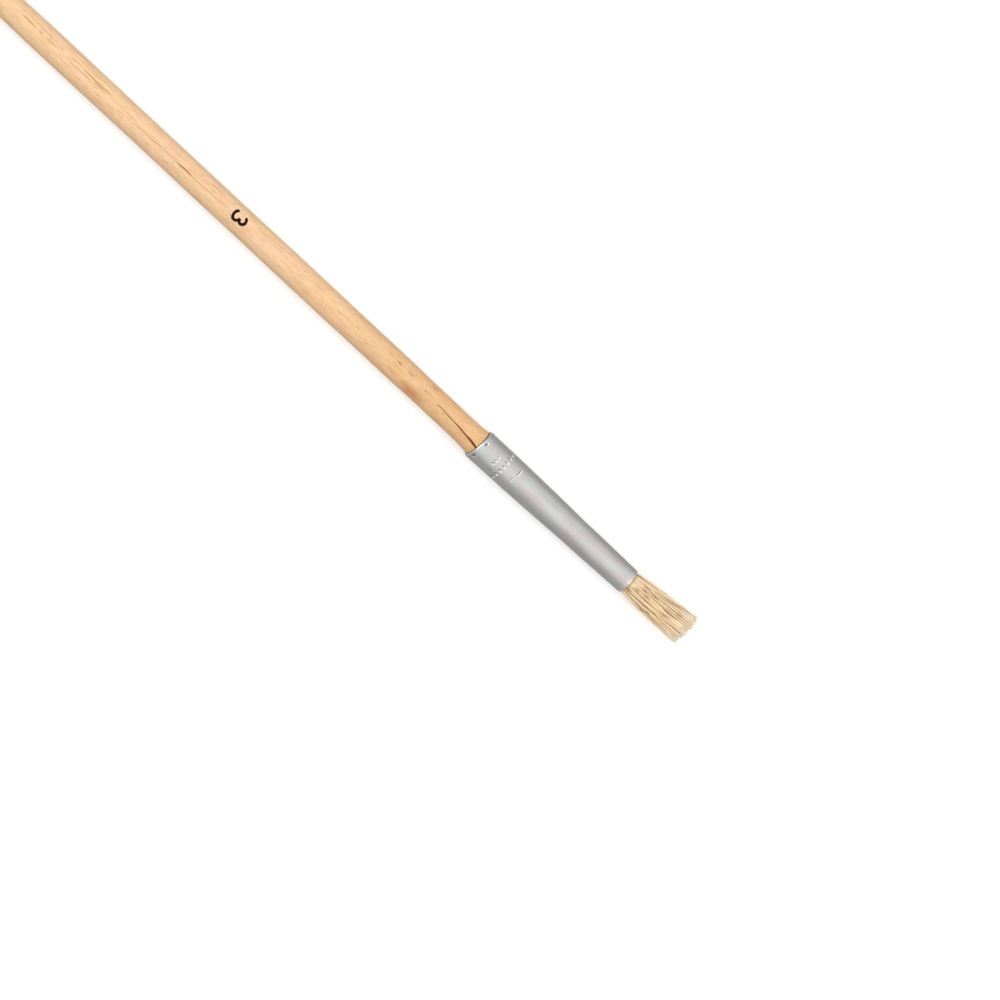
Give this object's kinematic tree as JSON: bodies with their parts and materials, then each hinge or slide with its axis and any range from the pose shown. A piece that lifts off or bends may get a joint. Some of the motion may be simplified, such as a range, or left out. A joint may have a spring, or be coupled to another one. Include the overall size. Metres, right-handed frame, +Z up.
{
  "type": "round stencil brush",
  "caption": "Slim round stencil brush: a plain wooden dowel handle, a long tapered aluminium ferrule and a short stiff flat-ended tuft that splays when dabbed.",
  "frame": {"origin": "middle of the brush's length, on the surface that it lies on, straight under its axis", "axes": "+X along the brush towards the bristles, +Z up, away from the surface, and +Y to the left when looking towards the bristles"},
  "size_m": [0.23, 0.007, 0.0071],
  "materials": {
    "wood": "raw, fine sanded",
    "aluminium": "satin",
    "glue": "set epoxy",
    "thread": "waxed thread",
    "bristle": "natural hog bristle",
    "size_ink": "printed ink"
  },
  "bodies": {
    "brush": {"handle": "wood", "ferrule": "aluminium", "glue_plug": "glue", "root_thread": "thread", "bristle_core": "bristle"},
    "outer_lock_01": {"outer_lock_01": "bristle"},
    "outer_lock_02": {"outer_lock_02": "bristle"},
    "outer_lock_03": {"outer_lock_03": "bristle"},
    "outer_lock_04": {"outer_lock_04": "bristle"},
    "outer_lock_05": {"outer_lock_05": "bristle"},
    "outer_lock_06": {"outer_lock_06": "bristle"},
    "outer_lock_07": {"outer_lock_07": "bristle"},
    "outer_lock_08": {"outer_lock_08": "bristle"},
    "outer_lock_09": {"outer_lock_09": "bristle"},
    "outer_lock_10": {"outer_lock_10": "bristle"},
    "outer_lock_11": {"outer_lock_11": "bristle"},
    "outer_lock_12": {"outer_lock_12": "bristle"},
    "outer_lock_13": {"outer_lock_13": "bristle"},
    "outer_lock_14": {"outer_lock_14": "bristle"},
    "outer_lock_15": {"outer_lock_15": "bristle"},
    "outer_lock_16": {"outer_lock_16": "bristle"},
    "outer_lock_17": {"outer_lock_17": "bristle"},
    "outer_lock_18": {"outer_lock_18": "bristle"},
    "middle_lock_01": {"middle_lock_01": "bristle"},
    "middle_lock_02": {"middle_lock_02": "bristle"},
    "middle_lock_03": {"middle_lock_03": "bristle"},
    "middle_lock_04": {"middle_lock_04": "bristle"},
    "middle_lock_05": {"middle_lock_05": "bristle"},
    "middle_lock_06": {"middle_lock_06": "bristle"},
    "middle_lock_07": {"middle_lock_07": "bristle"},
    "middle_lock_08": {"middle_lock_08": "bristle"},
    "middle_lock_09": {"middle_lock_09": "bristle"},
    "middle_lock_10": {"middle_lock_10": "bristle"},
    "middle_lock_11": {"middle_lock_11": "bristle"},
    "middle_lock_12": {"middle_lock_12": "bristle"},
    "inner_lock_01": {"inner_lock_01": "bristle"},
    "inner_lock_02": {"inner_lock_02": "bristle"},
    "inner_lock_03": {"inner_lock_03": "bristle"},
    "inner_lock_04": {"inner_lock_04": "bristle"},
    "inner_lock_05": {"inner_lock_05": "bristle"},
    "inner_lock_06": {"inner_lock_06": "bristle"}
  },
  "joints": [
    {"name": "outer_splay_01", "type": "hinge", "parent": "brush", "child": "outer_lock_01", "pos_m": [0.099, -0.0004, 0.0058], "axis": [0, -0.9848, -0.1736], "range_deg": [0, 12], "stiffness_Nm_per_rad": 0.001},
    {"name": "outer_splay_02", "type": "hinge", "parent": "brush", "child": "outer_lock_02", "pos_m": [0.099, -0.00115, 0.00553], "axis": [0, -0.866, -0.5], "range_deg": [0, 12], "stiffness_Nm_per_rad": 0.001},
    {"name": "outer_splay_03", "type": "hinge", "parent": "brush", "child": "outer_lock_03", "pos_m": [0.099, -0.00177, 0.00501], "axis": [0, -0.6428, -0.766], "range_deg": [0, 12], "stiffness_Nm_per_rad": 0.001},
    {"name": "outer_splay_04", "type": "hinge", "parent": "brush", "child": "outer_lock_04", "pos_m": [0.099, -0.00217, 0.00432], "axis": [0, -0.342, -0.9397], "range_deg": [0, 12], "stiffness_Nm_per_rad": 0.001},
    {"name": "outer_splay_05", "type": "hinge", "parent": "brush", "child": "outer_lock_05", "pos_m": [0.099, -0.00231, 0.00353], "axis": [0, 0, -1], "range_deg": [0, 12], "stiffness_Nm_per_rad": 0.001},
    {"name": "outer_splay_06", "type": "hinge", "parent": "brush", "child": "outer_lock_06", "pos_m": [0.099, -0.00217, 0.00274], "axis": [0, 0.342, -0.9397], "range_deg": [0, 12], "stiffness_Nm_per_rad": 0.001},
    {"name": "outer_splay_07", "type": "hinge", "parent": "brush", "child": "outer_lock_07", "pos_m": [0.099, -0.00177, 0.00204], "axis": [0, 0.6428, -0.766], "range_deg": [0, 12], "stiffness_Nm_per_rad": 0.001},
    {"name": "outer_splay_08", "type": "hinge", "parent": "brush", "child": "outer_lock_08", "pos_m": [0.099, -0.00115, 0.00153], "axis": [0, 0.866, -0.5], "range_deg": [0, 12], "stiffness_Nm_per_rad": 0.001},
    {"name": "outer_splay_09", "type": "hinge", "parent": "brush", "child": "outer_lock_09", "pos_m": [0.099, -0.0004, 0.00125], "axis": [0, 0.9848, -0.1736], "range_deg": [0, 12], "stiffness_Nm_per_rad": 0.001},
    {"name": "outer_splay_10", "type": "hinge", "parent": "brush", "child": "outer_lock_10", "pos_m": [0.099, 0.0004, 0.00125], "axis": [0, 0.9848, 0.1736], "range_deg": [0, 12], "stiffness_Nm_per_rad": 0.001},
    {"name": "outer_splay_11", "type": "hinge", "parent": "brush", "child": "outer_lock_11", "pos_m": [0.099, 0.00115, 0.00153], "axis": [0, 0.866, 0.5], "range_deg": [0, 12], "stiffness_Nm_per_rad": 0.001},
    {"name": "outer_splay_12", "type": "hinge", "parent": "brush", "child": "outer_lock_12", "pos_m": [0.099, 0.00177, 0.00204], "axis": [0, 0.6428, 0.766], "range_deg": [0, 12], "stiffness_Nm_per_rad": 0.001},
    {"name": "outer_splay_13", "type": "hinge", "parent": "brush", "child": "outer_lock_13", "pos_m": [0.099, 0.00217, 0.00274], "axis": [0, 0.342, 0.9397], "range_deg": [0, 12], "stiffness_Nm_per_rad": 0.001},
    {"name": "outer_splay_14", "type": "hinge", "parent": "brush", "child": "outer_lock_14", "pos_m": [0.099, 0.00231, 0.00353], "axis": [0, 0, 1], "range_deg": [0, 12], "stiffness_Nm_per_rad": 0.001},
    {"name": "outer_splay_15", "type": "hinge", "parent": "brush", "child": "outer_lock_15", "pos_m": [0.099, 0.00217, 0.00432], "axis": [0, -0.342, 0.9397], "range_deg": [0, 12], "stiffness_Nm_per_rad": 0.001},
    {"name": "outer_splay_16", "type": "hinge", "parent": "brush", "child": "outer_lock_16", "pos_m": [0.099, 0.00177, 0.00501], "axis": [0, -0.6428, 0.766], "range_deg": [0, 12], "stiffness_Nm_per_rad": 0.001},
    {"name": "outer_splay_17", "type": "hinge", "parent": "brush", "child": "outer_lock_17", "pos_m": [0.099, 0.00115, 0.00553], "axis": [0, -0.866, 0.5], "range_deg": [0, 12], "stiffness_Nm_per_rad": 0.001},
    {"name": "outer_splay_18", "type": "hinge", "parent": "brush", "child": "outer_lock_18", "pos_m": [0.099, 0.0004, 0.0058], "axis": [0, -0.9848, 0.1736], "range_deg": [0, 12], "stiffness_Nm_per_rad": 0.001},
    {"name": "middle_splay_01", "type": "hinge", "parent": "brush", "child": "middle_lock_01", "pos_m": [0.099, -0.00043, 0.00512], "axis": [0, -0.9659, -0.2588], "range_deg": [0, 8.25], "stiffness_Nm_per_rad": 0.001},
    {"name": "middle_splay_02", "type": "hinge", "parent": "brush", "child": "middle_lock_02", "pos_m": [0.099, -0.00116, 0.00469], "axis": [0, -0.7071, -0.7071], "range_deg": [0, 8.25], "stiffness_Nm_per_rad": 0.001},
    {"name": "middle_splay_03", "type": "hinge", "parent": "brush", "child": "middle_lock_03", "pos_m": [0.099, -0.00159, 0.00396], "axis": [0, -0.2588, -0.9659], "range_deg": [0, 8.25], "stiffness_Nm_per_rad": 0.001},
    {"name": "middle_splay_04", "type": "hinge", "parent": "brush", "child": "middle_lock_04", "pos_m": [0.099, -0.00159, 0.0031], "axis": [0, 0.2588, -0.9659], "range_deg": [0, 8.25], "stiffness_Nm_per_rad": 0.001},
    {"name": "middle_splay_05", "type": "hinge", "parent": "brush", "child": "middle_lock_05", "pos_m": [0.099, -0.00116, 0.00237], "axis": [0, 0.7071, -0.7071], "range_deg": [0, 8.25], "stiffness_Nm_per_rad": 0.001},
    {"name": "middle_splay_06", "type": "hinge", "parent": "brush", "child": "middle_lock_06", "pos_m": [0.099, -0.00043, 0.00194], "axis": [0, 0.9659, -0.2588], "range_deg": [0, 8.25], "stiffness_Nm_per_rad": 0.001},
    {"name": "middle_splay_07", "type": "hinge", "parent": "brush", "child": "middle_lock_07", "pos_m": [0.099, 0.00043, 0.00194], "axis": [0, 0.9659, 0.2588], "range_deg": [0, 8.25], "stiffness_Nm_per_rad": 0.001},
    {"name": "middle_splay_08", "type": "hinge", "parent": "brush", "child": "middle_lock_08", "pos_m": [0.099, 0.00116, 0.00237], "axis": [0, 0.7071, 0.7071], "range_deg": [0, 8.25], "stiffness_Nm_per_rad": 0.001},
    {"name": "middle_splay_09", "type": "hinge", "parent": "brush", "child": "middle_lock_09", "pos_m": [0.099, 0.00159, 0.0031], "axis": [0, 0.2588, 0.9659], "range_deg": [0, 8.25], "stiffness_Nm_per_rad": 0.001},
    {"name": "middle_splay_10", "type": "hinge", "parent": "brush", "child": "middle_lock_10", "pos_m": [0.099, 0.00159, 0.00396], "axis": [0, -0.2588, 0.9659], "range_deg": [0, 8.25], "stiffness_Nm_per_rad": 0.001},
    {"name": "middle_splay_11", "type": "hinge", "parent": "brush", "child": "middle_lock_11", "pos_m": [0.099, 0.00116, 0.00469], "axis": [0, -0.7071, 0.7071], "range_deg": [0, 8.25], "stiffness_Nm_per_rad": 0.001},
    {"name": "middle_splay_12", "type": "hinge", "parent": "brush", "child": "middle_lock_12", "pos_m": [0.099, 0.00043, 0.00512], "axis": [0, -0.9659, 0.2588], "range_deg": [0, 8.25], "stiffness_Nm_per_rad": 0.001},
    {"name": "inner_splay_01", "type": "hinge", "parent": "brush", "child": "inner_lock_01", "pos_m": [0.099, -0.00049, 0.00438], "axis": [0, -0.866, -0.5], "range_deg": [0, 4.5], "stiffness_Nm_per_rad": 0.001},
    {"name": "inner_splay_02", "type": "hinge", "parent": "brush", "child": "inner_lock_02", "pos_m": [0.099, -0.00098, 0.00353], "axis": [0, 0, -1], "range_deg": [0, 4.5], "stiffness_Nm_per_rad": 0.001},
    {"name": "inner_splay_03", "type": "hinge", "parent": "brush", "child": "inner_lock_03", "pos_m": [0.099, -0.00049, 0.00268], "axis": [0, 0.866, -0.5], "range_deg": [0, 4.5], "stiffness_Nm_per_rad": 0.001},
    {"name": "inner_splay_04", "type": "hinge", "parent": "brush", "child": "inner_lock_04", "pos_m": [0.099, 0.00049, 0.00268], "axis": [0, 0.866, 0.5], "range_deg": [0, 4.5], "stiffness_Nm_per_rad": 0.001},
    {"name": "inner_splay_05", "type": "hinge", "parent": "brush", "child": "inner_lock_05", "pos_m": [0.099, 0.00098, 0.00353], "axis": [0, 0, 1], "range_deg": [0, 4.5], "stiffness_Nm_per_rad": 0.001},
    {"name": "inner_splay_06", "type": "hinge", "parent": "brush", "child": "inner_lock_06", "pos_m": [0.099, 0.00049, 0.00438], "axis": [0, -0.866, 0.5], "range_deg": [0, 4.5], "stiffness_Nm_per_rad": 0.001}
  ],
  "couplings": [
    {"joint": "outer_splay_02", "follows": "outer_splay_01", "ratio": 1},
    {"joint": "outer_splay_03", "follows": "outer_splay_01", "ratio": 1},
    {"joint": "outer_splay_04", "follows": "outer_splay_01", "ratio": 1},
    {"joint": "outer_splay_05", "follows": "outer_splay_01", "ratio": 1},
    {"joint": "outer_splay_06", "follows": "outer_splay_01", "ratio": 1},
    {"joint": "outer_splay_07", "follows": "outer_splay_01", "ratio": 1},
    {"joint": "outer_splay_08", "follows": "outer_splay_01", "ratio": 1},
    {"joint": "outer_splay_09", "follows": "outer_splay_01", "ratio": 1},
    {"joint": "outer_splay_10", "follows": "outer_splay_01", "ratio": 1},
    {"joint": "outer_splay_11", "follows": "outer_splay_01", "ratio": 1},
    {"joint": "outer_splay_12", "follows": "outer_splay_01", "ratio": 1},
    {"joint": "outer_splay_13", "follows": "outer_splay_01", "ratio": 1},
    {"joint": "outer_splay_14", "follows": "outer_splay_01", "ratio": 1},
    {"joint": "outer_splay_15", "follows": "outer_splay_01", "ratio": 1},
    {"joint": "outer_splay_16", "follows": "outer_splay_01", "ratio": 1},
    {"joint": "outer_splay_17", "follows": "outer_splay_01", "ratio": 1},
    {"joint": "outer_splay_18", "follows": "outer_splay_01", "ratio": 1},
    {"joint": "middle_splay_01", "follows": "outer_splay_01", "ratio": 0.6875},
    {"joint": "middle_splay_02", "follows": "outer_splay_01", "ratio": 0.6875},
    {"joint": "middle_splay_03", "follows": "outer_splay_01", "ratio": 0.6875},
    {"joint": "middle_splay_04", "follows": "outer_splay_01", "ratio": 0.6875},
    {"joint": "middle_splay_05", "follows": "outer_splay_01", "ratio": 0.6875},
    {"joint": "middle_splay_06", "follows": "outer_splay_01", "ratio": 0.6875},
    {"joint": "middle_splay_07", "follows": "outer_splay_01", "ratio": 0.6875},
    {"joint": "middle_splay_08", "follows": "outer_splay_01", "ratio": 0.6875},
    {"joint": "middle_splay_09", "follows": "outer_splay_01", "ratio": 0.6875},
    {"joint": "middle_splay_10", "follows": "outer_splay_01", "ratio": 0.6875},
    {"joint": "middle_splay_11", "follows": "outer_splay_01", "ratio": 0.6875},
    {"joint": "middle_splay_12", "follows": "outer_splay_01", "ratio": 0.6875},
    {"joint": "inner_splay_01", "follows": "outer_splay_01", "ratio": 0.375},
    {"joint": "inner_splay_02", "follows": "outer_splay_01", "ratio": 0.375},
    {"joint": "inner_splay_03", "follows": "outer_splay_01", "ratio": 0.375},
    {"joint": "inner_splay_04", "follows": "outer_splay_01", "ratio": 0.375},
    {"joint": "inner_splay_05", "follows": "outer_splay_01", "ratio": 0.375},
    {"joint": "inner_splay_06", "follows": "outer_splay_01", "ratio": 0.375}
  ]
}
